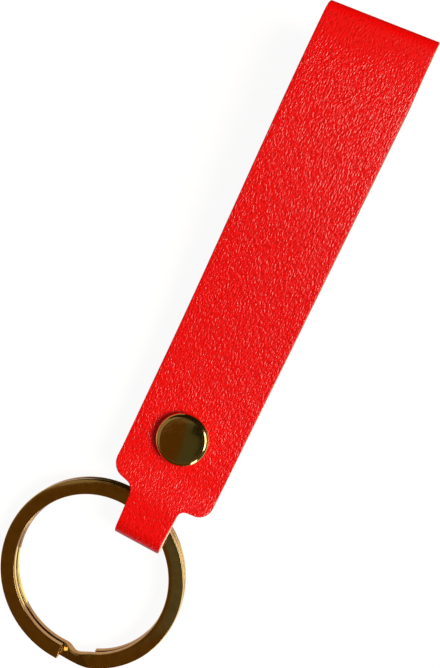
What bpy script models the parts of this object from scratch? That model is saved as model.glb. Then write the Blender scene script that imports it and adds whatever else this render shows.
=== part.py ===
# Leather keychain: a folded leather strap with a riveted neck that holds a split ring.
#
# Units are metres and +Z is up. The keychain lies on its back on the plane z = 0. The origin is on
# that plane under the rivet's axis. +Y runs along the strap from the ring to the top fold, +X across it.

from math import asin, cos, hypot, pi, radians, sin, sqrt, tan

import bpy
import numpy as np
from mathutils import Euler

# Leather strip
LEATHER_THICKNESS = 0.0012
LAYER_GAP = 0.0002
STRAP_WIDTH = 0.0201
STRAP_OFFSET = 0.00035
RIVET_TO_FOLD_END = 0.0807
FOLD_HEIGHT = 0.0124
FOLD_TOP_MID_RADIUS = 0.0024
FOLD_SKEW = radians(1.1)
FOLD_SKEW_START = 0.0520
FRONT_FLAT_PAST_CAP = 0.0008
BACK_FLAT_START = 0.0240

# Shoulders, neck and tab. The left shoulder lies a little higher than the right one and slopes more.
RIVET_TO_SHOULDER_LEFT = 0.01152
RIVET_TO_SHOULDER_RIGHT = 0.01172
SHOULDER_SLOPE_LEFT = radians(13)
SHOULDER_SLOPE_RIGHT = radians(5.8)
SHOULDER_RADIUS_LEFT = 0.00305
SHOULDER_RADIUS_RIGHT = 0.00265
SHOULDER_FILLET = 0.0012
RIVET_TO_NECK_END = 0.0215
NECK_ROOT_WIDTH = 0.0097
NECK_TIP_WIDTH = 0.0089
TAB_PAST_RIVET = 0.0080
TAB_CORNER = 0.0026
BACK_END_SHORT_OF_FRONT = 0.0006
BACK_END_CORNER = 0.0030

# Double-cap rivet
CAP_RADIUS = 0.0049
CAP_HEIGHT = 0.0014
CAP_CROWN = 0.00012
CAP_WALL = 0.0003
CAP_EDGE_RADIUS = 0.0008
CAP_LIP_RADIUS = 0.0027
TUBE_RADIUS = 0.0017
TUBE_WALL = 0.0004
POST_TIP_RADIUS = 0.0004
RIVET_GAP = 0.00025
SEAT_GAP = 0.0003

# Split ring
RING_OUTER_RADIUS = 0.01805
WIRE_WIDTH = 0.00292
WIRE_THICKNESS = 0.00105
WIRE_CORNER = 0.00022
TURN_GAP = 0.00041
RING_SKEW = radians(18.9)
RING_END_FRONT = radians(292.5)
JOGGLE_ARC = radians(9)
JOGGLE_TO_FRONT_END = radians(0.6)
RING_END_BACK_PAST_JOGGLE = radians(14.1)
JOGGLE_TWIST = radians(34)
TWIST_SHORT_OF_ENDS = radians(0.5)
SWING_CLEARANCE = 0.00012
NECK_SLACK = 0.0003
LEVEL_MARGIN = 0.0008

# Mesh fineness
FOLD_STEPS = 20
NECK_STEPS = 16
SLOPE_STEPS = 12
CORNER_STEPS = 8
FILLET_STEPS = 5
TURNED_STEPS = 48
RING_STEP = radians(5)
JOGGLE_STEPS = 24
GAP_POINTS_STEP = radians(0.25)

# Sizes that follow from the ones above
strap_half = STRAP_WIDTH / 2
tab_half = NECK_TIP_WIDTH / 2
ring_inner_radius = RING_OUTER_RADIUS - WIRE_WIDTH
ring_height = 2 * WIRE_THICKNESS + TURN_GAP
layer_pitch = LEATHER_THICKNESS + LAYER_GAP

# Heights of the three layers' middles at the rivet, above the back cap that lies on z = 0
tab_back_z = CAP_HEIGHT + SEAT_GAP
tab_z = tab_back_z + LEATHER_THICKNESS / 2
back_z = tab_z + layer_pitch
front_z = back_z + layer_pitch
front_face_z = front_z + LEATHER_THICKNESS / 2
front_cap_z = front_face_z + SEAT_GAP

# The part of the ring inside the neck, seen along the swing axis: the arc's depth and the two turns' height
arc_half = NECK_ROOT_WIDTH / 2 / cos(RING_SKEW)
arc_inner = sqrt(ring_inner_radius**2 - arc_half**2)
arc_depth = RING_OUTER_RADIUS - arc_inner
axis_to_ring_centre = (RING_OUTER_RADIUS + arc_inner) / 2
corner_swing = hypot(arc_depth / 2 - WIRE_CORNER, ring_height / 2 - WIRE_CORNER) + WIRE_CORNER
neck_inner_radius = corner_swing + SWING_CLEARANCE
neck_mid_radius = neck_inner_radius + LEATHER_THICKNESS / 2
neck_z = neck_inner_radius + LEATHER_THICKNESS

# Places along the strap
neck_end_y = -RIVET_TO_NECK_END
neck_turn_y = neck_end_y + neck_z
swing_axis_y = neck_turn_y + arc_half * sin(RING_SKEW) + NECK_SLACK
neck_level_y = swing_axis_y + arc_half * sin(RING_SKEW) + LEVEL_MARGIN
flat_half = CAP_RADIUS + FRONT_FLAT_PAST_CAP
fold_low_mid_radius = FOLD_HEIGHT - LEATHER_THICKNESS - FOLD_TOP_MID_RADIUS
fold_end_mid_y = RIVET_TO_FOLD_END - LEATHER_THICKNESS / 2
fold_top_y = fold_end_mid_y - FOLD_TOP_MID_RADIUS
fold_low_y = fold_end_mid_y - fold_low_mid_radius
back_end_y = -RIVET_TO_SHOULDER_LEFT + BACK_END_SHORT_OF_FRONT
ring_drop = asin((neck_z - ring_height / 2) / (axis_to_ring_centre + RING_OUTER_RADIUS))

# Angles along the wound wire, counted down from the front turn's end to the back turn's end
joggle_start = RING_END_FRONT + JOGGLE_TO_FRONT_END + JOGGLE_ARC - 2 * pi
back_end = joggle_start + RING_END_BACK_PAST_JOGGLE - 2 * pi
twist_start = joggle_start + RING_END_BACK_PAST_JOGGLE - TWIST_SHORT_OF_ENDS
twist_end = RING_END_FRONT + TWIST_SHORT_OF_ENDS - 2 * pi

# Each shoulder's line: its distance from the rivet at the fillet, its slope and the corner it ends in
left_shoulder = (RIVET_TO_SHOULDER_LEFT, SHOULDER_SLOPE_LEFT, SHOULDER_RADIUS_LEFT)
right_shoulder = (RIVET_TO_SHOULDER_RIGHT, SHOULDER_SLOPE_RIGHT, SHOULDER_RADIUS_RIGHT)


def clear_scene():
    for obj in list(bpy.data.objects):
        bpy.data.objects.remove(obj, do_unlink=True)


def linear(channel):
    value = channel / 255
    if value <= 0.04045:
        return value / 12.92
    return ((value + 0.055) / 1.055) ** 2.4


def make_material(name, red, green, blue, roughness, metallic):
    material = bpy.data.materials.new(name)
    material.use_nodes = True
    shader = material.node_tree.nodes["Principled BSDF"]
    shader.inputs["Base Color"].default_value = (linear(red), linear(green), linear(blue), 1)
    shader.inputs["Roughness"].default_value = roughness
    shader.inputs["Metallic"].default_value = metallic
    return material


def make_object(name, data, collection, material=None):
    obj = bpy.data.objects.new(name, data)
    collection.objects.link(obj)
    if material:
        data.materials.append(material)
    return obj


def blend(t):
    t = min(max(t, 0), 1)
    return t * t * (3 - 2 * t)


def steps(start, end, count):
    return [start + (end - start) * i / count for i in range(count + 1)]


def slope(y_from, z_from, y_to, z_to):
    """An S-shaped run of the strip from one level to another."""
    run = []
    for y in steps(y_from, y_to, SLOPE_STEPS):
        run.append((y, z_from + (z_to - z_from) * blend((y - y_from) / (y_to - y_from))))
    return run


def turn(y, z, radius, angle_from, angle_to, count):
    return [(y + radius * cos(a), z + radius * sin(a)) for a in steps(angle_from, angle_to, count)]


def shoulder_places(shoulder):
    """Where a shoulder's pieces meet: fillet foot, line start outwards and upwards, line end, corner end."""
    distance, incline, corner = shoulder
    neck_half = NECK_ROOT_WIDTH / 2
    fillet_foot = -distance - SHOULDER_FILLET * cos(incline)
    line_from = neck_half + SHOULDER_FILLET * (1 - sin(incline))
    line_to = strap_half - corner * (1 - sin(incline))
    line_end_y = -distance + (line_to - line_from) * tan(incline)
    return fillet_foot, line_from, line_end_y, line_end_y + corner * cos(incline)


def shoulder_half_width(y, shoulder):
    """Half the front layer's width at y: neck, concave fillet, sloping shoulder, round corner, full width."""
    distance, incline, corner = shoulder
    fillet_foot, line_from, line_end_y, corner_end = shoulder_places(shoulder)
    neck_half = NECK_ROOT_WIDTH / 2
    if y <= fillet_foot:
        taper = (y - neck_turn_y) / (fillet_foot - neck_turn_y)
        return tab_half + (neck_half - tab_half) * min(max(taper, 0), 1)
    if y < -distance:
        return neck_half + SHOULDER_FILLET - sqrt(SHOULDER_FILLET**2 - (y - fillet_foot) ** 2)
    if y < line_end_y:
        return line_from + (y + distance) / tan(incline)
    if y < corner_end:
        return strap_half - corner + sqrt(corner**2 - (corner_end - y) ** 2)
    return strap_half


def end_half_width(from_end, half, corner):
    """Half the width near a square end with round corners."""
    inside = max(corner - from_end, 0)
    return half - corner + sqrt(corner**2 - inside**2)


def corner_rows(corner):
    """Distances from a square end at which a round corner gets its rows."""
    return [corner * (1 - cos(a)) for a in steps(0, pi / 2, CORNER_STEPS)]


def shoulder_rows():
    rows = set()
    for shoulder in (left_shoulder, right_shoulder):
        _, incline, corner = shoulder
        fillet_foot, _, _, corner_end = shoulder_places(shoulder)
        for a in steps(0, pi / 2 - incline, FILLET_STEPS):
            rows.add(fillet_foot + SHOULDER_FILLET * sin(a))
        for a in steps(incline, pi / 2, CORNER_STEPS):
            rows.add(corner_end - corner * cos(a))
    return sorted(rows)


def front_height(y):
    """The middle of the front layer: down from the neck's level to the rivet, then up to the top fold."""
    if y < -flat_half:
        neck_top = neck_z + neck_mid_radius
        fall = blend((y - neck_level_y) / (-flat_half - neck_level_y))
        return neck_top + (front_z - neck_top) * fall
    fold_top = FOLD_HEIGHT - LEATHER_THICKNESS / 2
    return front_z + (fold_top - front_z) * blend((y - flat_half) / (fold_top_y - flat_half))


def strip_rows():
    """Rows along the strip, from the tab's end to the back layer's end: y, z, half width left and right."""
    low_z = LEATHER_THICKNESS / 2
    rows = []

    tab_rows = [TAB_PAST_RIVET - d for d in corner_rows(TAB_CORNER)]
    for y in tab_rows:
        half = end_half_width(TAB_PAST_RIVET - y, tab_half, TAB_CORNER)
        rows.append((y, tab_z, half, half))

    for y, z in slope(-flat_half, tab_z, neck_level_y, low_z):
        rows.append((y, z, tab_half, tab_half))
    for y, z in turn(neck_turn_y, neck_z, neck_mid_radius, -pi / 2, -3 * pi / 2, NECK_STEPS):
        rows.append((y, z, tab_half, tab_half))

    front_ys = [y for y in shoulder_rows() if y < -flat_half]
    front_ys += steps(neck_level_y, -flat_half, SLOPE_STEPS)
    front_ys += [y for y in shoulder_rows() if y >= -flat_half]
    front_ys += steps(flat_half, fold_top_y, 2 * SLOPE_STEPS)[:-1]
    for y in sorted(front_ys):
        left = shoulder_half_width(y, left_shoulder)
        right = shoulder_half_width(y, right_shoulder)
        rows.append((y, front_height(y), left, right))

    fold_z = low_z + fold_low_mid_radius
    fold = turn(fold_top_y, fold_z, FOLD_TOP_MID_RADIUS, pi / 2, 0, FOLD_STEPS // 2)[:-1]
    fold += turn(fold_low_y, fold_z, fold_low_mid_radius, 0, -pi / 2, FOLD_STEPS // 2)
    for y, z in fold:
        rows.append((y, z, strap_half, strap_half))
    for y, z in slope(BACK_FLAT_START, low_z, flat_half, back_z):
        rows.append((y, z, strap_half, strap_half))
    for d in reversed(corner_rows(BACK_END_CORNER)):
        half = end_half_width(d, strap_half, BACK_END_CORNER)
        rows.append((back_end_y + d, back_z, half, half))
    return rows


def merge_close_rows(rows, least=0.00004):
    kept = [rows[0]]
    for row in rows[1:]:
        if hypot(row[0] - kept[-1][0], row[1] - kept[-1][1]) > least:
            kept.append(row)
    return kept


def skewed(x, y, z):
    """The fold's line isn't quite square to the strap: towards it the strip leans, its right edge further out."""
    lean = blend((y - FOLD_SKEW_START) / (fold_top_y - FOLD_SKEW_START))
    return STRAP_OFFSET + x, y + x * tan(FOLD_SKEW) * lean, z


def make_strap(collection, cutters, material):
    rows = merge_close_rows(strip_rows())
    verts = []
    for y, z, left, right in rows:
        verts.append(skewed(-left, y, z))
        verts.append(skewed(right, y, z))
    faces = [(2 * i, 2 * i + 1, 2 * i + 3, 2 * i + 2) for i in range(len(rows) - 1)]
    mesh = bpy.data.meshes.new("leather_strap")
    mesh.from_pydata(verts, [], faces)
    mesh.shade_smooth()
    mesh.set_sharp_from_angle(angle=radians(40))
    strap = make_object("leather_strap", mesh, collection, material)

    thickness = strap.modifiers.new("thickness", "SOLIDIFY")
    thickness.thickness = LEATHER_THICKNESS
    thickness.offset = 0
    thickness.use_even_offset = True

    hole = strap.modifiers.new("rivet hole", "BOOLEAN")
    hole.operation = "DIFFERENCE"
    hole.solver = "EXACT"
    hole.object = make_rivet_hole(cutters)
    return strap


def make_rivet_hole(cutters):
    depth = front_face_z - tab_back_z + 2 * LEATHER_THICKNESS
    bpy.ops.mesh.primitive_cylinder_add(
        vertices=TURNED_STEPS,
        radius=TUBE_RADIUS + SEAT_GAP,
        depth=depth,
        location=(0, 0, (front_face_z + tab_back_z) / 2),
    )
    cutter = bpy.context.object
    cutter.name = "rivet_hole_cutter"
    for collection in list(cutter.users_collection):
        collection.objects.unlink(cutter)
    cutters.objects.link(cutter)
    cutter.hide_render = True
    cutter.display_type = "WIRE"
    return cutter


def make_turned(name, profile, closed, height, flipped, collection, material):
    """A profile of (radius, height) points turned round the rivet's axis. A flipped one faces down."""
    edges = [(i, i + 1) for i in range(len(profile) - 1)]
    if closed:
        edges.append((len(profile) - 1, 0))
    mesh = bpy.data.meshes.new(name)
    mesh.from_pydata([(r, 0, z) for r, z in profile], edges, [])
    obj = make_object(name, mesh, collection, material)
    obj.location.z = height
    if flipped:
        obj.rotation_euler.x = pi
    screw = obj.modifiers.new("turn", "SCREW")
    screw.steps = TURNED_STEPS
    screw.render_steps = TURNED_STEPS
    screw.use_merge_vertices = True
    screw.merge_threshold = 0.00001
    screw.use_smooth_shade = True
    return obj


def cap_profile(crown):
    """A cap's shell, foot at 0: from the top's middle, down its outside, in under the lip and back up."""
    flat = CAP_RADIUS - CAP_EDGE_RADIUS
    foot = CAP_WALL * 0.8
    outer = [(flat * i / 6, CAP_HEIGHT + crown * (1 - (i / 6) ** 2)) for i in range(6)]
    outer += arc(flat, CAP_HEIGHT - CAP_EDGE_RADIUS, CAP_EDGE_RADIUS, pi / 2, 0, 6)
    outer += arc(CAP_RADIUS - foot, foot, foot, 0, -pi / 2, 3)
    lip = [(CAP_LIP_RADIUS, 0), (CAP_LIP_RADIUS, CAP_WALL)]
    inner_radius = CAP_RADIUS - CAP_WALL
    inner_edge = CAP_EDGE_RADIUS - CAP_WALL
    inner = [(inner_radius, CAP_WALL)]
    inner += arc(flat, CAP_HEIGHT - CAP_EDGE_RADIUS, inner_edge, 0, pi / 2, 4)
    inner += [(0, CAP_HEIGHT - CAP_WALL + crown)]
    return outer + lip + inner


def arc(r, z, radius, angle_from, angle_to, count):
    return [(r + radius * cos(a), z + radius * sin(a)) for a in steps(angle_from, angle_to, count)]


def washer_radius():
    return CAP_RADIUS - CAP_WALL - RIVET_GAP


def make_rivet(collection, brass, steel):
    washer_low = CAP_WALL + RIVET_GAP
    washer_high = washer_low + CAP_WALL
    stack = front_cap_z - CAP_HEIGHT
    make_turned("rivet_front_cap", cap_profile(CAP_CROWN), False, front_cap_z, False, collection, brass)
    make_turned("rivet_back_cap", cap_profile(0), False, CAP_HEIGHT, True, collection, brass)

    tube_foot = -stack + SEAT_GAP
    tube_bore = TUBE_RADIUS - TUBE_WALL
    socket = [
        (washer_radius(), washer_high),
        (washer_radius(), washer_low),
        (TUBE_RADIUS, washer_low),
        (TUBE_RADIUS, tube_foot),
        (tube_bore, tube_foot),
        (tube_bore, washer_high),
    ]
    make_turned("rivet_socket", socket, True, front_cap_z, False, collection, steel)

    post_radius = tube_bore - RIVET_GAP
    post_top = stack + washer_low
    tip_low = post_top - POST_TIP_RADIUS
    post = [(0, post_top)]
    post += arc(post_radius - POST_TIP_RADIUS, tip_low, POST_TIP_RADIUS, pi / 2, 0, 4)
    post += [
        (post_radius, -washer_low),
        (washer_radius(), -washer_low),
        (washer_radius(), -washer_high),
        (0, -washer_high),
    ]
    make_turned("rivet_post", post, False, CAP_HEIGHT, False, collection, steel)


def wire_section(cutters):
    """The flat wire's section, a rectangle with round corners, as a closed curve."""
    half_width = WIRE_WIDTH / 2 - WIRE_CORNER
    half_height = WIRE_THICKNESS / 2 - WIRE_CORNER
    points = []
    for quarter, (sx, sy) in enumerate([(1, 1), (1, -1), (-1, -1), (-1, 1)]):
        start = pi / 2 - quarter * pi / 2
        points += arc(sx * half_width, sy * half_height, WIRE_CORNER, start, start - pi / 2, 2)
    curve = bpy.data.curves.new("wire_section", "CURVE")
    curve.dimensions = "2D"
    spline = curve.splines.new("POLY")
    spline.points.add(len(points) - 1)
    for point, (x, y) in zip(spline.points, points):
        point.co = (x, y, 0, 1)
    spline.use_cyclic_u = True
    section = make_object("wire_section", curve, cutters)
    section.hide_render = True
    section.display_type = "WIRE"
    return section


def ring_angles():
    """The stations along the wire, close together where it is joggled and twisted."""
    front_count = round((RING_END_FRONT - twist_start) / RING_STEP)
    back_count = round((twist_end - back_end) / RING_STEP)
    angles = steps(RING_END_FRONT, twist_start, front_count)[:-1]
    angles += steps(twist_start, twist_end, JOGGLE_STEPS)[:-1]
    return angles + steps(twist_end, back_end, back_count)


def ring_point(angle):
    """The wire's middle line in the ring's own plane, with its centre on -Y of the swing axis."""
    radius = RING_OUTER_RADIUS - WIRE_WIDTH / 2
    level = (WIRE_THICKNESS + TURN_GAP) / 2
    height = level - 2 * level * blend((joggle_start - angle) / JOGGLE_ARC)
    return radius * cos(angle), radius * sin(angle) - axis_to_ring_centre, height


def ring_twist(angle):
    """The wire's lean outwards between both ends, most in the middle of that stretch and none at its ends."""
    half_span = (twist_start - twist_end) / 2
    from_middle = min(abs(angle - twist_end - half_span) / half_span, 1)
    return JOGGLE_TWIST * cos(from_middle * pi / 2) ** 2


def wire_outline():
    """Points round the wire's section, across its width and over its thickness."""
    across = [(WIRE_WIDTH / 2 - WIRE_CORNER) * i / 4 for i in range(-4, 5)]
    over = [(WIRE_THICKNESS / 2 - WIRE_CORNER) * i / 2 for i in range(-2, 3)]
    flats = [(x, side * WIRE_THICKNESS / 2) for x in across for side in (-1, 1)]
    return np.array(flats + [(side * WIRE_WIDTH / 2, y) for y in over for side in (-1, 1)])


def least_turn_gap():
    """The least distance between points on both turns' surfaces, at least a quarter turn apart along the wire."""
    count = round((RING_END_FRONT - back_end) / GAP_POINTS_STEP)
    angles = np.array(steps(RING_END_FRONT, back_end, count))
    path = np.array([ring_point(angle) for angle in angles])
    along = np.gradient(path, axis=0)
    along /= np.linalg.norm(along, axis=1)[:, None]
    out = np.stack([np.cos(angles), np.sin(angles), 0 * angles], axis=1)
    out -= (out * along).sum(axis=1)[:, None] * along
    out /= np.linalg.norm(out, axis=1)[:, None]
    up = np.cross(out, along)
    up *= np.sign(up[:, 2])[:, None]
    twist = np.array([ring_twist(angle) for angle in angles])[:, None]
    wide = out * np.cos(twist) - up * np.sin(twist)
    high = up * np.cos(twist) + out * np.sin(twist)
    outline = wire_outline()
    skin = path[:, None] + wide[:, None] * outline[:, :1] + high[:, None] * outline[:, 1:]
    full_turn = round(2 * pi / GAP_POINTS_STEP)
    least = 1
    for shift in range(full_turn - 12, full_turn + 13):
        if shift < count:
            apart = skin[:-shift, :, None] - skin[shift:, None, :]
            least = min(least, np.linalg.norm(apart, axis=3).min())
    return least


def make_ring(collection, cutters, material):
    print("least gap between the split ring's turns: %.2f mm" % (least_turn_gap() * 1000))
    angles = ring_angles()
    curve = bpy.data.curves.new("split_ring", "CURVE")
    curve.dimensions = "3D"
    curve.twist_mode = "Z_UP"
    curve.bevel_mode = "OBJECT"
    curve.bevel_object = wire_section(cutters)
    curve.use_fill_caps = True
    spline = curve.splines.new("POLY")
    spline.points.add(len(angles) - 1)
    for point, angle in zip(spline.points, angles):
        point.co = (*ring_point(angle), 1)
        point.tilt = -ring_twist(angle)
    spline.use_smooth = True
    ring = make_object("split_ring", curve, collection, material)
    ring.location = (STRAP_OFFSET, swing_axis_y, neck_z)
    ring.rotation_euler = Euler((ring_drop, 0, -RING_SKEW), "XYZ")
    return ring


def main():
    clear_scene()
    scene = bpy.context.scene
    keychain = bpy.data.collections.new("leather_keychain")
    cutters = bpy.data.collections.new("cutters")
    scene.collection.children.link(keychain)
    scene.collection.children.link(cutters)

    leather = make_material("red_leather", 228, 16, 12, 0.45, 0)
    brass = make_material("polished_antique_brass", 150, 112, 56, 0.15, 1)
    steel = make_material("plated_steel", 168, 140, 88, 0.3, 1)

    make_strap(keychain, cutters, leather)
    make_rivet(keychain, brass, steel)
    make_ring(keychain, cutters, brass)
    print("swing axis through x %.6f, y %.6f, z %.6f" % (STRAP_OFFSET, swing_axis_y, neck_z))


main()
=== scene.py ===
# Leather keychain: a red pebbled strap folded through a split ring and held by a double-cap rivet.
# Sizes are in millimetres, and makePiece turns them to metres. The strap runs along +Y and its front faces +Z.
import math

import bmesh
import bpy
import numpy as np
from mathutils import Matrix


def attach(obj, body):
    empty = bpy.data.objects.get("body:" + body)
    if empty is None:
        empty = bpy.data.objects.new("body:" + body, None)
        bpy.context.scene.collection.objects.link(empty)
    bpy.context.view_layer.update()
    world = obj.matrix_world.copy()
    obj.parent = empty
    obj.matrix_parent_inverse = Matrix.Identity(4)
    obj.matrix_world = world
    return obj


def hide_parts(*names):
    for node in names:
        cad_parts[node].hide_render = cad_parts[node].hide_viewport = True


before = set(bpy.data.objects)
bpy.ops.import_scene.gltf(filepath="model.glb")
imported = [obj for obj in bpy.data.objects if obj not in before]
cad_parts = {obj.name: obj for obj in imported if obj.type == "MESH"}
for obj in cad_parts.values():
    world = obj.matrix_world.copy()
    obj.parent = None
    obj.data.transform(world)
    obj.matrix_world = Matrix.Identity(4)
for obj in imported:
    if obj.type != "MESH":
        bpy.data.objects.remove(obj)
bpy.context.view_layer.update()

print("frame loaded:", ", ".join(sorted(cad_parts)))

millimetre = 0.001  # in metres, the frame's unit
meshing = {"joined": 1e-7, "sharpEdge": 50}  # metres within which points are one, and degrees past which shading breaks


def hexColour(text):  # sRGB hex to linear: each channel divided by 12.92, or raised to 2.4 above the toe
    channels = [int(text[i:i + 2], 16) / 255 for i in (1, 3, 5)]
    return [c / 12.92 if c <= 0.04045 else ((c + 0.055) / 1.055) ** 2.4 for c in channels] + [1.0]


def addNode(tree, kind, inputs=None, **settings):  # inputs are plain values, or other nodes' sockets to link
    node = tree.nodes.new(kind)
    for key, value in settings.items():
        setattr(node, key, value)
    for key, value in (inputs or {}).items():
        if isinstance(value, bpy.types.NodeSocket):
            tree.links.new(value, node.inputs[key])
        else:
            node.inputs[key].default_value = value
    return node


def newMaterial(name):  # an empty node tree, which addNode fills
    material = bpy.data.materials.new(name)
    material.use_nodes = True
    material.node_tree.nodes.clear()
    return material, material.node_tree


def easeBetween(t):  # from 0 to 1 and level at both ends: 3 t squared less 2 t cubed
    t = np.clip(t, 0, 1)
    return t * t * (3 - 2 * t)


def arcPoints(centre, radius, start, end, count):  # centre plus radius times cosine and sine, angles in degrees
    a = np.radians(np.linspace(start, end, count))
    return np.stack([centre[0] + radius * np.cos(a), centre[1] + radius * np.sin(a)], 1)


def gridFaces(rows, columns, closed=False):  # each cell of a grid, numbered row by row, is a four-cornered face
    index = np.arange(rows * columns).reshape(rows, columns)
    if closed:
        index = np.concatenate([index, index[:, :1]], 1)
    return np.stack([index[:-1, :-1], index[:-1, 1:], index[1:, 1:], index[1:, :-1]], -1).reshape(-1, 4)


def turnedSurface(profile, steps):  # a profile of (radius, height) carried round Z
    a = np.linspace(0, 2 * math.pi, steps, endpoint=False)
    r, z = profile[:, :1], profile[:, 1:]
    points = np.stack([r * np.cos(a), r * np.sin(a), z + 0 * a], -1).reshape(-1, 3)
    return points, gridFaces(len(profile), steps, closed=True).tolist()


def makePiece(name, points, faces, material=None, ownPlace=None):
    # points in mm times a thousandth; merging doubles closes seams and poles, then every face is turned outwards
    mesh = bpy.data.meshes.new(name)
    mesh.from_pydata((points * millimetre).tolist(), [], faces)
    if ownPlace is not None:
        marks = mesh.attributes.new("ownPlace", "FLOAT_VECTOR", "POINT")
        marks.data.foreach_set("vector", ownPlace.astype(np.float32).ravel())
    work = bmesh.new()
    work.from_mesh(mesh)
    bmesh.ops.remove_doubles(work, verts=work.verts, dist=meshing["joined"])
    bmesh.ops.recalc_face_normals(work, faces=work.faces)
    work.to_mesh(mesh)
    work.free()
    mesh.shade_smooth()
    mesh.set_sharp_from_angle(angle=math.radians(meshing["sharpEdge"]))
    if material:
        mesh.materials.append(material)
    piece = bpy.data.objects.new(name, mesh)
    bpy.context.scene.collection.objects.link(piece)
    return piece


photoCamera = {
    "place": (12.693, 26.331, 132.445),
    "turn": (0.4647, 7.3037, 26.1068),  # degrees about X, Y and Z
    "lens": 38.104,
    "sensor": 36,
    "nearest": 5,
}


def makeCamera(shape):  # a plain lens, at the place and turn that a fit to the photo's outlines gave
    data = bpy.data.cameras.new("photoCamera")
    data.lens = shape["lens"]
    data.sensor_width = shape["sensor"]
    data.clip_start = shape["nearest"] * millimetre
    camera = bpy.data.objects.new("photoCamera", data)
    camera.location = [v * millimetre for v in shape["place"]]
    camera.rotation_euler = [math.radians(v) for v in shape["turn"]]
    bpy.context.scene.collection.objects.link(camera)
    bpy.context.scene.camera = camera


studio = {
    "paper": "#5A5A5A",
    "paperGlow": 0.93,  # brings the lit paper to white for the camera and mirrors, and leaves its shadows
    "paperRadius": 5000.0,
    "paperHeight": -0.02,  # just under what lies on it
    "paperSides": 96,
    "room": "#FFFFFF",
    "roomStrength": 0.12,  # and 1 for the camera, which is white
    "lampColour": "#FFF0DA",
    "lamps": {  # degrees round from +X, degrees up from the floor, strength and degrees across
        "window_lamp": (14, 44, 3.75, 28),
        "fill_lamp": (60, 62, 0.34, 60),
    },
    # Cards and glowing panels that only the metal and the gloss see, as a photographer hangs them round a mirror
    # finish: each has its colour and its strength. The first ones hang level at the height below, as corners (x, y),
    # and the next stand on the floor from one (x, y) to the next and reach up to that height.
    "cardHeight": 500,
    "hungCards": {
        "warm_card": ("#543708", 1.0, ((-62, -28), (-42, -100), (-35, -180), (-45, -215), (-170, -215), (-150, -160),
                                       (-140, -95), (-118, -58), (-90, -33))),
        "ring_card": ("#573E16", 1.0, ((-170, -215), (-45, -215), (-70, -260), (-70, -345), (200, -380), (327, -503),
                                       (468, -720), (-420, -720), (-360, -460), (-300, -330), (-250, -230))),
        "khaki_card": ("#555447", 1.0, ((-45, -215), (200, -215), (200, -380), (-70, -345), (-70, -260))),
        "olive_card": ("#474A36", 1.0, ((-62, -28), (-30, -26), (-30, -62), (0, -62), (15, -76), (22, -106), (17, -133),
                                        (98, -166), (280, -112), (650, -118), (900, -123), (900, -782), (453, -394),
                                        (340, -496), (200, -380), (200, -215), (-45, -215), (-35, -180), (-42, -100))),
        "gold_card": ("#8F8672", 1.0, ((-30, -20), (-30, -26), (-62, -28), (-90, -33), (-118, -58), (-140, -95),
                                       (-150, -160), (-170, -215), (-250, -230), (-300, -330), (-360, -460),
                                       (-420, -720), (-1100, -720), (-1100, 300), (-420, 150), (-330, 170),
                                       (-205, 115), (-130, 52), (-85, 2), (-60, -10))),
        "black_card": ("#1E1C12", 1.0, ((-30, -20), (-30, -62), (0, -62), (183, 127), (445, 389), (900, 663),
                                        (900, 900), (-1100, 900), (-1100, 300), (-420, 150),
                                        (-330, 170), (-205, 115), (-130, 52), (-85, 2), (-60, -10))),
        "window_panel": ("#E8ECFF", 3.8, ((183, 127), (280, -112), (650, -118), (445, 389))),
        "far_card": ("#3A3A2C", 1.0, ((445, 389), (650, -118), (900, -123), (900, 663))),
        "frame_card": ("#1C2420", 1.0, ((0, -62), (15, -76), (22, -106), (17, -133), (98, -166), (280, -112),
                                        (183, 127))),
    },
    "standingCards": {
        "left_card": ("#8C8471", 1.0, ((-1100, -720), (-1100, 900), (-500, 900))),
        "top_card": ("#1E1C12", 1.0, ((-500, 900), (900, 900), (900, 420))),
        "right_card": ("#4C4A36", 1.0, ((900, 420), (900, -782))),
        "slit_panel": ("#D8E0FF", 4.2, ((453, -394), (340, -496))),
        "bottom_card": ("#4A3416", 1.0, ((-1100, -720), (468, -720))),
    },
    # and these lie on the floor one over the other, as corners (x, y), and colour what the fold, the joggle and the
    # wire's sides mirror: the darker ones, inside_card too, paint shade and dark reflections into them, and shine_card
    # and glint_card are painted highlights
    "lyingHeight": 0.1,
    "lyingStep": 0.05,
    "lyingCards": {
        "fold_card": ("#1E1C12", 1.0, ((-500, 84), (900, 84), (900, 900), (-500, 900))),
        "joggle_card": ("#4A3416", 1.0, ((-300, -720), (60, -720), (20, -52), (-60, -52))),
        # painted shade: the strap's shadow as the ring's top walls mirror it
        "shoulder_card": ("#26210F", 1.0, ((-60, -14), (6, -14), (6, 40), (-60, 40))),
        "inside_card": ("#B8A8B4", 1.15, ((-26, -50), (9, -50), (9, -14), (-26, -14))),
        # painted highlight: the bright band on the ring's inner left wall
        "shine_card": ("#ECFAF0", 1.6, ((-20.2, -34.8), (-17.8, -39.5), (-14.5, -43.5), (-12.5, -42.5), (-15.5, -38),
                                        (-17.5, -34.5))),
        # painted glint: the orange glint on the joggle, standing in for the ring mirroring its own gold
        "glint_card": ("#D09040", 1.0, ((-30, -52), (0, -52), (0, -49), (-26, -49))),
    },
}


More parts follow.
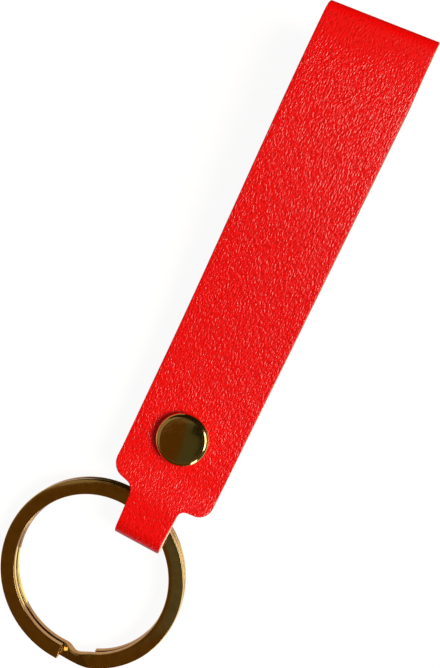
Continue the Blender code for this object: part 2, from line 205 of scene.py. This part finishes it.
def sweepPaper(shape):
    # Matt white paper. Its glow shows only to the camera, mirrors and glass, so it lights nothing else.
    material, tree = newMaterial("matt_white_paper")
    rays = addNode(tree, "ShaderNodeLightPath").outputs
    seen = addNode(tree, "ShaderNodeMath", {0: rays["Is Camera Ray"], 1: rays["Is Glossy Ray"]}, operation="ADD")
    seen = addNode(tree, "ShaderNodeMath", {0: seen.outputs[0], 1: rays["Is Transmission Ray"]}, operation="ADD")
    seen = addNode(tree, "ShaderNodeMath", {0: seen.outputs[0], 1: shape["paperGlow"]}, operation="MULTIPLY")
    paper = addNode(tree, "ShaderNodeBsdfDiffuse", {"Color": hexColour(shape["paper"])})
    glow = addNode(tree, "ShaderNodeEmission", {"Strength": seen.outputs[0]})
    both = addNode(tree, "ShaderNodeAddShader", {0: paper.outputs[0], 1: glow.outputs[0]})
    addNode(tree, "ShaderNodeOutputMaterial", {"Surface": both.outputs[0]})
    return material


def makeStudio(shape):
    # The paper is a flat disc, and each lamp a sun turned up from the floor and then round Z. A level card is one
    # flat polygon, and a standing one a wall ruled from its feet to its top.
    scene = bpy.context.scene
    disc = np.array([[0.0, shape["paperHeight"]], [shape["paperRadius"], shape["paperHeight"]]])
    makePiece("paper_floor", *turnedSurface(disc, shape["paperSides"]), sweepPaper(shape))

    world = bpy.data.worlds.new("pale_room")
    world.use_nodes = True
    tree = world.node_tree
    tree.nodes.clear()
    seen = addNode(tree, "ShaderNodeLightPath").outputs["Is Camera Ray"]
    seen = addNode(tree, "ShaderNodeMapRange", {"Value": seen, "To Min": shape["roomStrength"]})
    back = addNode(tree, "ShaderNodeBackground", {"Color": hexColour(shape["room"]), "Strength": seen.outputs[0]})
    addNode(tree, "ShaderNodeOutputWorld", {"Surface": back.outputs[0]})
    scene.world = world
    world.cycles_visibility.glossy = False  # so that metal and gloss see the cards, the lamps and the paper alone

    for name, (around, up, strength, spread) in shape["lamps"].items():
        lamp = bpy.data.lights.new(name, "SUN")
        lamp.color = hexColour(shape["lampColour"])[:3]
        lamp.energy = strength
        lamp.angle = math.radians(spread)
        holder = bpy.data.objects.new(name, lamp)
        holder.rotation_euler = (0, math.radians(90 - up), math.radians(around))
        scene.collection.objects.link(holder)

    level = {name: shape["cardHeight"] for name in shape["hungCards"]}
    level.update({name: shape["lyingHeight"] + shape["lyingStep"] * i for i, name in enumerate(shape["lyingCards"])})
    cards = {**shape["hungCards"], **shape["lyingCards"], **shape["standingCards"]}
    for name, (colour, strength, outline) in cards.items():
        heights = [level[name]] if name in level else [0, shape["cardHeight"]]
        points = np.concatenate([np.column_stack([outline, np.full(len(outline), z)]) for z in heights]).astype(float)
        faces = [tuple(range(len(outline)))] if name in level else gridFaces(2, len(outline)).tolist()
        material, tree = newMaterial(name)
        glow = addNode(tree, "ShaderNodeEmission", {"Color": hexColour(colour), "Strength": strength})
        addNode(tree, "ShaderNodeOutputMaterial", {"Surface": glow.outputs[0]})
        card = makePiece(name, points, faces, material)
        card.visible_camera = False
        card.visible_diffuse = False
        card.visible_shadow = False


strap = {
    "thickness": 1.2,
    "width": 20.1,
    "offset": 0.35,  # of its middle to the rivet's right
    "tabEnd": 8.0,  # this, and what follows with end, level, turn or flat, are places along Y from the rivet
    "tabHeight": 2.3,  # this and the next two are heights of the strip's middle at the rivet
    "backHeight": 3.7,
    "frontHeight": 5.1,
    "flatHalf": 5.7,
    "neckLevel": -13.560,
    "neckTurn": -17.980,
    "neckRadius": 2.920,
    "foldEnd": 79.98,
    "foldTopRadius": 2.4,
    "foldLowRadius": 8.8,
    "foldSkew": 1.35,  # degrees, its right edge further out
    "foldSkewFrom": 52.0,
    "backFlat": 24.0,
    "backEnd": -10.92,
    "neckSlant": 0.26,  # how far the cut of the neck's right edge leans out, as a share of the thickness
    "slantAlong": (-11.0, 7.0),  # where the slant starts along Y, and over how much it grows whole
    "slantUp": (2.0, 2.5),  # and the same for height
    # each shoulder line's start along the strap, its slope in degrees, its corner and the hollow fillet beside it, and
    # the half widths of the neck and the tab on that side
    "shoulderLeft": (-11.42, 13.0, 3.05, 2.1, 4.68, 4.45),
    "shoulderRight": (-11.60, 5.8, 2.65, 1.5, 4.85, 4.54),
    # the left edge comes in towards the shoulders, and the right one towards the fold: how far, from where along Y,
    # and over how much it does so
    "leftTrim": (0.15, 10, 18),
    "rightTrim": (0.25, 71, 6),
    "trimFade": 10,  # the trims fade out from this far beside the middle
    "tabCorner": 2.6,
    "endCorner": 3.0,
    "grainEdge": 0.16,  # the skin side's edge is pressed round
    "fleshEdge": 0.10,
    "cutRows": (0.12, -0.2),  # heights of the two rows of points down the cut edge
    "holeRadius": 2.0,
    "holeSides": 64,
    "punch": (9.0, -2.0),  # the heights between which the hole is punched
    "columns": 26,
    "rowGap": 0.34,
    "closeRows": -5.0,  # up to here along Y the rows lie closer
    # how many points each S-shaped slope, wide arc and tight arc of the side view has, and each stretch of the edges
    "viewPoints": {"slope": 200, "wide": 160, "tight": 120},
    "edgePoints": {"grain": 7, "flesh": 4, "corner": 14, "tab": 60, "turn": 40, "neck": 18, "slope": 8, "shoulder": 20,
                   "cap": 9, "fold": 60},
}


def sideView(shape):
    # The strip's middle line seen from the side: under the ring, round the neck, along the front, round the top fold
    # and back behind. Straight runs and arcs are joined by S-shaped slopes, and the fold is a tight quarter circle
    # above a wide one. Gives the distance along it, its points (y, z) and the directions square to it, skin side out.
    low = shape["thickness"] / 2
    tight, wide = shape["foldTopRadius"], shape["foldLowRadius"]
    neckTop = low + 2 * shape["neckRadius"]
    foldTop = low + tight + wide
    flat, level, turn, fold = shape["flatHalf"], shape["neckLevel"], shape["neckTurn"], shape["foldEnd"]
    count = shape["viewPoints"]
    t = np.linspace(0, 1, count["slope"])[:, None]

    def slope(start, end):  # straight along Y, and eased from one height to the other
        return np.concatenate([start[0] + (end[0] - start[0]) * t, start[1] + (end[1] - start[1]) * easeBetween(t)], 1)

    line = np.concatenate([
        slope((shape["tabEnd"], shape["tabHeight"]), (-flat, shape["tabHeight"])),
        slope((-flat, shape["tabHeight"]), (level, low)),
        slope((level, low), (turn, low)),
        arcPoints((turn, low + shape["neckRadius"]), shape["neckRadius"], -90, -270, count["wide"]),
        slope((turn, neckTop), (level, neckTop)),
        slope((level, neckTop), (-flat, shape["frontHeight"])),
        slope((-flat, shape["frontHeight"]), (flat, shape["frontHeight"])),
        slope((flat, shape["frontHeight"]), (fold - tight, foldTop)),
        arcPoints((fold - tight, low + wide), tight, 90, 0, count["tight"]),
        arcPoints((fold - wide, low + wide), wide, 0, -90, count["wide"]),
        slope((fold - wide, low), (shape["backFlat"], low)),
        slope((shape["backFlat"], low), (flat, shape["backHeight"])),
        slope((flat, shape["backHeight"]), (shape["backEnd"], shape["backHeight"])),
    ])
    line = line[np.append(True, np.hypot(*np.diff(line, axis=0).T) > 1e-6)]
    along = np.append(0, np.cumsum(np.hypot(*np.diff(line, axis=0).T)))
    tangent = np.gradient(line, along, axis=0)
    tangent /= np.linalg.norm(tangent, axis=1)[:, None]
    return along, line, np.stack([-tangent[:, 1], tangent[:, 0]], 1)


def longEdge(shape, along, line, shoulder):
    # One long edge of the flat strip, row by row: distance along, half width and the outward direction's two parts.
    # Straight runs join the tab's corner, the hollow fillet, the sloped shoulder, its corner and the end's corner.
    tight, wide = shape["foldTopRadius"], shape["foldLowRadius"]
    neckTop = shape["thickness"] / 2 + 2 * shape["neckRadius"]
    foldTop = shape["thickness"] / 2 + tight + wide
    turnEnd = np.argmin(np.hypot(line[:, 0] - shape["neckTurn"], line[:, 1] - neckTop))
    foldStart = np.argmin(np.hypot(line[:, 0] - shape["foldEnd"] + tight, line[:, 1] - foldTop))
    front = slice(turnEnd, foldStart + 1)
    turnStart = along[turnEnd] - math.pi * shape["neckRadius"]
    foldEnd = along[foldStart] + math.pi / 2 * (tight + wide)
    startY, lean, corner, fillet, neck, tab = shoulder
    lean = math.radians(lean)
    half = shape["width"] / 2
    count = shape["edgePoints"]
    filletFoot = startY - fillet * math.cos(lean)
    lineStart = neck + fillet * (1 - math.sin(lean))
    lineEnd = half - corner * (1 - math.sin(lean))
    lineEndY = startY + (lineEnd - lineStart) * math.tan(lean)
    cornerEnd = lineEndY + corner * math.cos(lean)

    def atY(y):  # how far along the strip the front layer reaches y
        return np.interp(y, line[front, 0], along[front])

    def run(start, end, widths, n):  # straight from one half width to the other, and facing square out
        return np.stack([np.linspace(start, end, n), np.linspace(*widths, n), np.zeros(n), np.ones(n)], 1)

    def longRun(start, end):  # the same at full width, with the rows rowGap apart
        return run(start, end, (half, half), int((end - start) / shape["rowGap"]))

    def endCorner(centre, r, width, start):  # a quarter circle round a centre that lies its radius in from the width
        a = np.radians(np.linspace(start, start - 90, count["corner"]))
        return np.stack([centre + r * np.cos(a), width - r + r * np.sin(a), np.cos(a), np.sin(a)], 1)

    a = np.linspace(0, math.pi / 2 - lean, count["corner"])
    hollow = np.stack([atY(filletFoot + fillet * np.sin(a)), neck + fillet * (1 - np.cos(a)), -np.sin(a), np.cos(a)], 1)
    x = np.linspace(lineStart, lineEnd, count["slope"])
    y = startY + (x - lineStart) * math.tan(lean)
    sloped = np.stack([atY(y), x, 0 * x - math.cos(lean), 0 * x + math.sin(lean)], 1)
    a = np.linspace(lean, math.pi / 2, count["shoulder"])
    y = cornerEnd - corner * np.cos(a)
    rounded = np.stack([atY(y), half - corner + corner * np.sin(a), -np.cos(a), np.sin(a)], 1)
    backCorner = along[-1] - shape["endCorner"]
    runs = [
        endCorner(shape["tabCorner"], shape["tabCorner"], tab, 180),
        run(shape["tabCorner"], turnStart, (tab, tab), count["tab"]),
        run(turnStart, along[turnEnd], (tab, tab), count["turn"]),
        run(along[turnEnd], atY(filletFoot), (tab, neck), count["neck"]),
        hollow,
        sloped,
        rounded,
        run(atY(cornerEnd), atY(shape["closeRows"]), (half, half), count["cap"]),
        longRun(atY(shape["closeRows"]), along[foldStart]),
        run(along[foldStart], foldEnd, (half, half), count["fold"]),
        longRun(foldEnd, backCorner),
        endCorner(backCorner, shape["endCorner"], half, 90),
    ]
    return np.concatenate([runs[0]] + [part[1:] for part in runs[1:]])


def edgeProfile(shape):  # from the skin round the edge to the flesh: distance in from the outline, and height
    half, skin, flesh = shape["thickness"] / 2, shape["grainEdge"], shape["fleshEdge"]
    top = arcPoints((skin, half - skin), skin, 90, 180, shape["edgePoints"]["grain"])
    low = arcPoints((flesh, flesh - half), flesh, 180, 270, shape["edgePoints"]["flesh"])
    return np.concatenate([top, [[0, z] for z in shape["cutRows"]], low, [[skin, -half]]])


def makeStrap(shape, material):
    # The strip is laid out flat as (along, across, height): each row goes across the skin side, round the right edge,
    # back across the flesh side and round the left edge. Then each point is put on the side view at its distance
    # along, and moved by its height in the direction square to it.
    along, line, square = sideView(shape)
    edge = edgeProfile(shape)
    t = np.linspace(0, 1, shape["columns"] + 1)[:, None]
    (slantY, growY), (slantZ, growZ) = shape["slantAlong"], shape["slantUp"]
    sides = []
    for sign, shoulder in ((-1, shape["shoulderLeft"]), (1, shape["shoulderRight"])):
        side = longEdge(shape, along, line, shoulder)[:, None, :]
        s = side[:, :, 0] - edge[:, 0] * side[:, :, 2]
        x = side[:, :, 1] - edge[:, 0] * side[:, :, 3]
        if sign > 0:
            y, z = (np.interp(s, along, line[:, i]) for i in (0, 1))
            slant = shape["neckSlant"] * easeBetween((slantY - y) / growY) * easeBetween((z - slantZ) / growZ)
            x = x + slant * (shape["thickness"] / 2 - edge[:, 1])
        sides.append(np.stack([s, sign * x, 0 * s + edge[:, 1]], -1))
    left, right = sides

    def across(a, b):  # straight from the left edge to the right one, in equal columns
        return a[..., None, :] + (b - a)[..., None, :] * t

    skin, flesh = across(left[:, 0], right[:, 0]), across(left[:, -1], right[:, -1])
    rows = np.concatenate([skin, right[:, 1:-1], flesh[:, ::-1], left[:, -2:0:-1]], 1)
    flat = [rows.reshape(-1, 3)]
    faces = [gridFaces(*rows.shape[:2], closed=True)]
    for row in (0, -1):  # each square end is ruled from the left edge's profile to the right one's
        end = across(left[row], right[row])
        faces.append(gridFaces(*end.shape[:2]) + sum(map(len, flat)))
        flat.append(end.reshape(-1, 3))
    flat = np.concatenate(flat)
    middle = [np.interp(flat[:, 0], along, line[:, i]) for i in (0, 1)]
    out = [np.interp(flat[:, 0], along, square[:, i]) for i in (0, 1)]
    x, lift = flat[:, 1] + shape["offset"], flat[:, 2]
    points = np.stack([x, middle[0] + out[0] * lift, middle[1] + out[1] * lift], 1)

    # towards the top the strip leans a little, so that the fold's line isn't quite square to the strap
    leanStart, leanEnd = shape["foldSkewFrom"], shape["foldEnd"] - shape["foldTopRadius"]
    lean = easeBetween((middle[0] - leanStart) / (leanEnd - leanStart)) * math.tan(math.radians(shape["foldSkew"]))
    (leftIn, leftY, leftOver), (rightIn, rightY, rightOver) = shape["leftTrim"], shape["rightTrim"]
    beside, y = points[:, 0] / shape["trimFade"], points[:, 1]
    trim = leftIn * easeBetween((leftY - y) / leftOver) * np.clip(-beside, 0, 1) ** 2
    trim -= rightIn * easeBetween((y - rightY) / rightOver) * np.clip(beside, 0, 1) ** 2
    points[:, 0] += trim
    points[:, 1] += flat[:, 1] * lean
    piece = makePiece("pebbled_strap", points, np.concatenate(faces).tolist(), material, flat[:, [1, 0, 2]])

    # the rivet's hole is punched through all three layers at once
    r, (top, foot) = shape["holeRadius"], shape["punch"]
    punch = makePiece("punch", *turnedSurface(np.array([[0, top], [r, top], [r, foot], [0, foot]]), shape["holeSides"]))
    cut = piece.modifiers.new("rivetHole", "BOOLEAN")
    cut.operation = "DIFFERENCE"
    cut.solver = "EXACT"
    cut.object = punch
    cutMesh = bpy.data.meshes.new_from_object(piece.evaluated_get(bpy.context.evaluated_depsgraph_get()))
    piece.modifiers.clear()
    piece.data = cutMesh
    bpy.data.objects.remove(punch)
    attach(piece, "strap")
    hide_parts("leather_strap")


leatherFinish = {
    "skin": "#EE0200",
    # the creases' red is painted shade, darker where the grain lies low
    "creases": "#D80000",
    "creaseShadeTone": (0.34, 0.5),  # the grain's heights, out of 1, between which the creases' darker red, painted shade in the grain's hollows, gives way to the skin's red
    # a darker red on the skin's rounded edges
    "darkerEdge": "#7A0300",
    "darkerEdgeDepth": (0.02, 0.1),  # mm below the skin between which the red turns darker, round the edges
    "cutEdge": "#F7CEC4",
    "flesh": "#B4584C",
    "fleshDepth": (1.15, 1.19),
    "roughness": 0.28,
    "cutRoughness": 0.85,
    "polishDepth": 0.15,  # mm over which the first roughness gives way to the second
    "gloss": 0.36,
    "grainWidth": 0.29,  # mm across the strap
    "grainLength": 0.68,  # mm along it
    "grainDepth": 0.20,  # mm
    "foldGrainDepth": 0.10,  # mm, where the hide is stretched over the top fold
    "stretched": (69.5, 76.5),  # mm from the rivet, from where to where the grain grows flatter
    "neckGrainShare": 0.70,  # of the grain's depth, where the hide is pulled round the ring
    "pulled": (-9, -1),  # mm from the rivet, from where to where the grain comes back
    "sway": 0.7,  # bends to the mm in the grain's and the creases' lines
    "pebbleWidth": 0.95,  # the creases go round pebbles of this width and length, in mm
    "pebbleLength": 2.1,
    "creaseWidth": 0.16,  # as a share of a pebble
    "creaseDepth": 0.007,  # mm
    "dyeDepth": 0.26,  # mm that the red finish goes down the cut edge
    "dyeFade": 0.12,  # and mm over which it ends
    "dyeRagged": 0.12,
    "raggedness": 3.0,  # bends to the mm in its end
    "fibres": 5.0,  # to the mm, on the cut edge and the flesh side
    "fibreHeight": 0.04,
}


def pebbledLeather(look, shape):
    # Cowhide, drum dyed, with a pebble grain pressed by a hot plate and a red pigment finish. The eye gets fine long
    # ridges whose right flanks glint, thin creases among them, a pale pink cut edge and a matt flesh side. ownPlace is
    # the place on the flat hide in mm: across, along and height.
    material, tree = newMaterial("pebbled_pigment_finished_cowhide")
    place = addNode(tree, "ShaderNodeAttribute", attribute_name="ownPlace").outputs["Vector"]
    height = addNode(tree, "ShaderNodeSeparateXYZ", {0: place}).outputs["Z"]
    sway = addNode(tree, "ShaderNodeTexNoise", {"Vector": place, "Scale": look["sway"], "Detail": 2.0}).outputs["Color"]
    bent = addNode(tree, "ShaderNodeVectorMath", {0: sway, 1: (0.5, 0.5, 0.5), 2: place}, operation="MULTIPLY_ADD")
    size = (1 / look["pebbleWidth"], 1 / look["pebbleLength"], 1 / look["pebbleWidth"])
    cell = addNode(tree, "ShaderNodeMapping", {"Vector": bent.outputs[0], "Scale": size}).outputs[0]
    pebble = addNode(tree, "ShaderNodeTexVoronoi", {"Vector": cell, "Scale": 1.0}, feature="DISTANCE_TO_EDGE")
    flank = addNode(tree, "ShaderNodeMapRange", {"Value": pebble.outputs["Distance"], "From Max": look["creaseWidth"],
                                                 "To Max": look["creaseDepth"]}, interpolation_type="SMOOTHSTEP")
    size = (1 / look["grainWidth"], 1 / look["grainLength"], 1 / look["grainWidth"])
    ridge = addNode(tree, "ShaderNodeMapping", {"Vector": bent.outputs[0], "Scale": size}).outputs[0]
    grain = addNode(tree, "ShaderNodeTexNoise", {"Vector": ridge, "Scale": 1.0, "Detail": 1.5, "Roughness": 0.45})

    # the grain is flatter where the hide is stretched over the top fold, and a little so where the ring pulls it
    along = addNode(tree, "ShaderNodeTexCoord").outputs["Object"]
    along = addNode(tree, "ShaderNodeSeparateXYZ", {0: along}).outputs["Y"]
    start, end = (v * millimetre for v in look["stretched"])
    deep = addNode(tree, "ShaderNodeMapRange", {"Value": along, "From Min": start, "From Max": end,
                                                "To Min": look["grainDepth"], "To Max": look["foldGrainDepth"]},
                   interpolation_type="SMOOTHSTEP")
    start, end = (v * millimetre for v in look["pulled"])
    kept = addNode(tree, "ShaderNodeMapRange", {"Value": along, "From Min": start, "From Max": end,
                                                "To Min": look["neckGrainShare"]}, interpolation_type="SMOOTHSTEP")
    deep = addNode(tree, "ShaderNodeMath", {0: deep.outputs[0], 1: kept.outputs[0]}, operation="MULTIPLY")
    relief = addNode(tree, "ShaderNodeMath", {0: grain.outputs[0], 1: deep.outputs[0], 2: flank.outputs[0]},
                     operation="MULTIPLY_ADD")

    # depth below the skin, made ragged, tells the red finish from the pale core, and the core from the flesh side
    half = shape["thickness"] / 2
    ragged = addNode(tree, "ShaderNodeTexNoise", {"Vector": place, "Scale": look["raggedness"], "Detail": 3.0})
    depth = addNode(tree, "ShaderNodeMath", {0: half, 1: height}, operation="SUBTRACT").outputs[0]
    uneven = addNode(tree, "ShaderNodeMath", {0: ragged.outputs[0], 1: look["dyeRagged"], 2: depth},
                     operation="MULTIPLY_ADD")

    # each colour below gives way to the next one as a value goes from the first bound to the second
    # the grain's low spots start from the darker red: painted shade in the hollows
    colour = hexColour(look["creases"])
    bounds = {
        "skin": (grain.outputs[0], look["creaseShadeTone"]),
        "darkerEdge": (depth, look["darkerEdgeDepth"]),
        "cutEdge": (uneven.outputs[0], (look["dyeDepth"], look["dyeDepth"] + look["dyeFade"])),
        "flesh": (depth, look["fleshDepth"]),
    }
    shares = {}
    for name, (value, (start, end)) in bounds.items():
        share = addNode(tree, "ShaderNodeMapRange", {"Value": value, "From Min": start, "From Max": end}).outputs[0]
        mixed = addNode(tree, "ShaderNodeMix", {0: share, 6: colour, 7: hexColour(look[name])}, data_type="RGBA")
        colour, shares[name] = mixed.outputs[2], share
    fibre = addNode(tree, "ShaderNodeTexNoise", {"Vector": place, "Scale": look["fibres"], "Detail": 4.0})
    fibre = addNode(tree, "ShaderNodeMath", {0: fibre.outputs[0], 1: look["fibreHeight"]}, operation="MULTIPLY")
    surface = addNode(tree, "ShaderNodeMix", {0: shares["cutEdge"], 2: relief.outputs[0], 3: fibre.outputs[0]})
    bump = addNode(tree, "ShaderNodeBump", {"Height": surface.outputs[0], "Distance": millimetre})
    dull = addNode(tree, "ShaderNodeMapRange", {"Value": depth, "From Max": look["polishDepth"],
                                                "To Min": look["roughness"], "To Max": look["cutRoughness"]})
    leather = addNode(tree, "ShaderNodeBsdfPrincipled", {
        "Base Color": colour,
        "Roughness": dull.outputs[0],
        "Normal": bump.outputs[0],
        "IOR": 1.5,
        "Specular IOR Level": look["gloss"],
    })
    addNode(tree, "ShaderNodeOutputMaterial", {"Surface": leather.outputs[0]})
    return material


cap = {
    "radius": 4.9,
    "height": 1.4,
    "crown": 0.12,
    "wall": 0.3,
    "edge": 0.8,  # how far down the pressed edge's round goes
    "edgeReach": 1.0,  # and how far in
    "foot": 0.24,  # the round at the wall's foot
    "lip": 2.7,
    "frontFoot": 6.0,  # the front cap goes up from this height, and the back one down from the next
    "backFoot": 1.4,
    "steps": 256,
    "points": {"face": 24, "edge": 34, "foot": 10, "inside": 10},  # along the profile
}


def makeCap(name, shape, front, material):
    # A pressed shell turned round Z. Its face is a shallow parabola and its edge a quarter ellipse, and the wall is
    # rolled in below to a lip.
    flat = shape["radius"] - shape["edgeReach"]
    stretch = np.array([shape["edgeReach"] / shape["edge"], 1])
    top, wall = shape["height"], shape["wall"]
    crown = shape["crown"] if front else 0
    foot, count = shape["foot"], shape["points"]
    r = np.linspace(0, flat, count["face"])[:-1]
    profile = np.concatenate([
        np.stack([r, top + crown * (1 - (r / flat) ** 2)], 1),
        arcPoints((0, top - shape["edge"]), shape["edge"], 90, 0, count["edge"]) * stretch + (flat, 0),
        arcPoints((shape["radius"] - foot, foot), foot, 0, -90, count["foot"]),
        [[shape["lip"], 0], [shape["lip"], wall], [shape["radius"] - wall, wall]],
        arcPoints((shape["radius"] - shape["edge"], top - shape["edge"]), shape["edge"] - wall, 0, 90, count["inside"]),
        [[0, top - wall + crown]],
    ])
    points, faces = turnedSurface(profile, shape["steps"])
    points[:, 2] = shape["frontFoot"] + points[:, 2] if front else shape["backFoot"] - points[:, 2]
    piece = makePiece(name, points, faces, material)
    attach(piece, "strap")
    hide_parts("rivet_front_cap" if front else "rivet_back_cap")


ring = {
    "outerRadius": 18.05,
    "wireWidth": 2.92,
    "wireThickness": 1.05,
    "wireCorner": (0.18, 0.44),  # the rolled sides bulge by the first, and their round goes down by the second
    "turnGap": 0.41,
    "axis": (0.35, -16.020, 3.520),  # a point on the swing axis, in the neck's fold
    "axisToCentre": 16.143,
    "skew": 18.9,  # degrees that the ring is turned about Z, and those that it drops about the swing axis
    "drop": 3.80,
    "frontEnd": 292.5,  # this and the next five are degrees round the ring
    "endToJoggle": 0.6,
    "joggle": 14.0,
    "joggleToBackEnd": 9.1,
    "twist": 27.0,  # the wire's lean outwards, most in the middle between both ends
    "twistShort": 0.5,
    "filed": 0.1,  # how far each end's round goes
    "filedRows": (0, 0.1, 0.3, 0.6, 1),  # and the shares of it at which it has a row
    "step": 0.5,
    "cornerPoints": 12,
}


def wireSection(shape, inset):  # a rectangle whose corners are quarter ellipses, drawn in by the inset
    curve = np.array(shape["wireCorner"])
    w, h = np.array([shape["wireWidth"], shape["wireThickness"]]) / 2 - curve
    quarters = ((w, h, 0), (-w, h, 90), (-w, -h, 180), (w, -h, 270))
    return np.concatenate([arcPoints((0, 0), 1, start, start + 90, shape["cornerPoints"]) * (curve - inset) + (x, y)
                           for x, y, start in quarters])


def makeRing(shape, material):
    # The wire's section carried along nearly two turns of a circle. Its height drops from the front turn's level to
    # the back turn's by an S-shaped slope, the joggle, and between both ends the section leans outwards by a squared
    # cosine. At each end the section draws in by a quarter circle.
    joggleStart = shape["frontEnd"] + shape["endToJoggle"] + shape["joggle"] - 360
    end = joggleStart + shape["joggleToBackEnd"] - 360
    leanFrom, leanTo = shape["frontEnd"] - 360 + shape["twistShort"], end + 360 - shape["twistShort"]
    angle = np.linspace(shape["frontEnd"], end, int((shape["frontEnd"] - end) / shape["step"]))
    level = (shape["wireThickness"] + shape["turnGap"]) / 2
    radius = shape["outerRadius"] - shape["wireWidth"] / 2
    a = np.radians(angle)
    height = level - 2 * level * easeBetween((joggleStart - angle) / shape["joggle"])
    path = np.stack([radius * np.cos(a), radius * np.sin(a) - shape["axisToCentre"], height], 1)
    tangent = np.gradient(path, axis=0)
    tangent /= np.linalg.norm(tangent, axis=1)[:, None]
    sideways = np.cross(tangent, [0, 0, 1])
    sideways /= np.linalg.norm(sideways, axis=1)[:, None]
    over = np.cross(sideways, tangent)
    fromMiddle = np.clip(np.abs(2 * angle - leanFrom - leanTo) / (leanTo - leanFrom), 0, 1)
    twist = np.radians(shape["twist"]) * np.cos(fromMiddle * math.pi / 2)[:, None] ** 2
    sideways, over = (sideways * np.cos(twist) + over * np.sin(twist), over * np.cos(twist) - sideways * np.sin(twist))

    steps = np.array(shape["filedRows"])
    drawnIn = 1 - np.sqrt(steps * (2 - steps))
    body = np.arange(2, len(path) - 2)
    first, last = np.zeros(len(steps), int), np.full(len(steps), len(path) - 1)
    row = np.concatenate([first, body, last])
    shift = shape["filed"] * np.concatenate([steps, 0 * body, -steps[::-1]])[:, None]
    inset = np.concatenate([drawnIn, 0 * body, drawnIn[::-1]])[:, None, None]
    centre = path[row] + tangent[row] * shift
    section = wireSection(shape, 0) * (1 - inset) + wireSection(shape, shape["filed"]) * inset
    points = centre[:, None] + sideways[row, None] * section[:, :, :1] + over[row, None] * section[:, :, 1:]
    rows, loop = points.shape[:2]
    ends = [list(range(loop)), list(range((rows - 1) * loop, rows * loop))]
    faces = gridFaces(rows, loop, closed=True).tolist() + ends

    # dropped about the swing axis, turned about Z and moved to the neck
    drop, skew = math.radians(shape["drop"]), math.radians(-shape["skew"])
    tilt = np.array([[1, 0, 0], [0, math.cos(drop), -math.sin(drop)], [0, math.sin(drop), math.cos(drop)]])
    turn = np.array([[math.cos(skew), -math.sin(skew), 0], [math.sin(skew), math.cos(skew), 0], [0, 0, 1]])
    points = points.reshape(-1, 3) @ (turn @ tilt).T + shape["axis"]
    piece = makePiece("wound_ring", points, faces, material)
    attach(piece, "ring")
    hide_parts("split_ring")


plateFinish = {
    "gold": "#E6BE74",
    "steel": "#C9C6BE",
    "stain": "#8A5A34",
    "stainSize": 1.5,  # mm between faint stains in the plate
    "stainMost": 0.22,
    "stainTone": (0.4, 0.65),  # the noise's values, out of 1, between which a stain grows
    "roughness": (0.06, 0.14),
    "waveSize": 2.6,  # mm between the soft waves that tumbling leaves
    "waveHeight": 0.005,
    "hazeSize": 0.4,
    "hazeTone": (0.3, 0.7),
    "onRivet": 0.3,  # share of the waves and stains that the rivet has, and the ring
    "onRing": 1.0,
}


def tumbledPlate(look, name, colour, waves):
    # Steel, tumbled smooth and electroplated. The eye gets a clear mirror whose lines waver a little, with faint haze
    # and stains. Its noises' scales are per metre, 1000 over the size in mm.
    material, tree = newMaterial(name)
    place = addNode(tree, "ShaderNodeTexCoord").outputs["Object"]
    wave = addNode(tree, "ShaderNodeTexNoise", {"Vector": place, "Scale": 1000 / look["waveSize"], "Detail": 2.0})
    haze = addNode(tree, "ShaderNodeTexNoise", {"Vector": place, "Scale": 1000 / look["hazeSize"], "Detail": 3.0})
    (least, most), (start, end) = look["roughness"], look["hazeTone"]
    rough = addNode(tree, "ShaderNodeMapRange", {"Value": haze.outputs[0], "From Min": start, "From Max": end,
                                                 "To Min": least, "To Max": most})
    waveHeight = look["waveHeight"] * waves * millimetre
    bump = addNode(tree, "ShaderNodeBump", {"Height": wave.outputs[0], "Distance": waveHeight})
    stain = addNode(tree, "ShaderNodeTexNoise", {"Vector": place, "Scale": 1000 / look["stainSize"], "Detail": 4.0})
    start, end = look["stainTone"]
    stain = addNode(tree, "ShaderNodeMapRange", {"Value": stain.outputs[0], "From Min": start, "From Max": end,
                                                 "To Max": look["stainMost"] * waves})
    face = addNode(tree, "ShaderNodeMix", {0: stain.outputs[0], 6: hexColour(look[colour]),
                                           7: hexColour(look["stain"])}, data_type="RGBA")
    plate = addNode(tree, "ShaderNodeBsdfPrincipled", {
        "Base Color": face.outputs[2],
        "Metallic": 1.0,
        "Roughness": rough.outputs[0],
        "Normal": bump.outputs[0],
    })
    addNode(tree, "ShaderNodeOutputMaterial", {"Surface": plate.outputs[0]})
    return material


makeCamera(photoCamera)
makeStudio(studio)
bpy.context.scene.view_settings.view_transform = "Standard"
print("camera and studio made")

makeStrap(strap, pebbledLeather(leatherFinish, strap))
print("strap made")

capPlate = tumbledPlate(plateFinish, "tumbled_gold_tone_plate_on_cap", "gold", plateFinish["onRivet"])
makeCap("front_cap", cap, True, capPlate)
makeCap("back_cap", cap, False, capPlate)
innerPlate = tumbledPlate(plateFinish, "nickel_plated_steel", "steel", plateFinish["onRivet"])
for name in ("rivet_socket", "rivet_post"):
    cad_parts[name].data.materials.clear()
    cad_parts[name].data.materials.append(innerPlate)
print("rivet made")

makeRing(ring, tumbledPlate(plateFinish, "tumbled_gold_tone_plate_on_ring", "gold", plateFinish["onRing"]))
print("ring made")
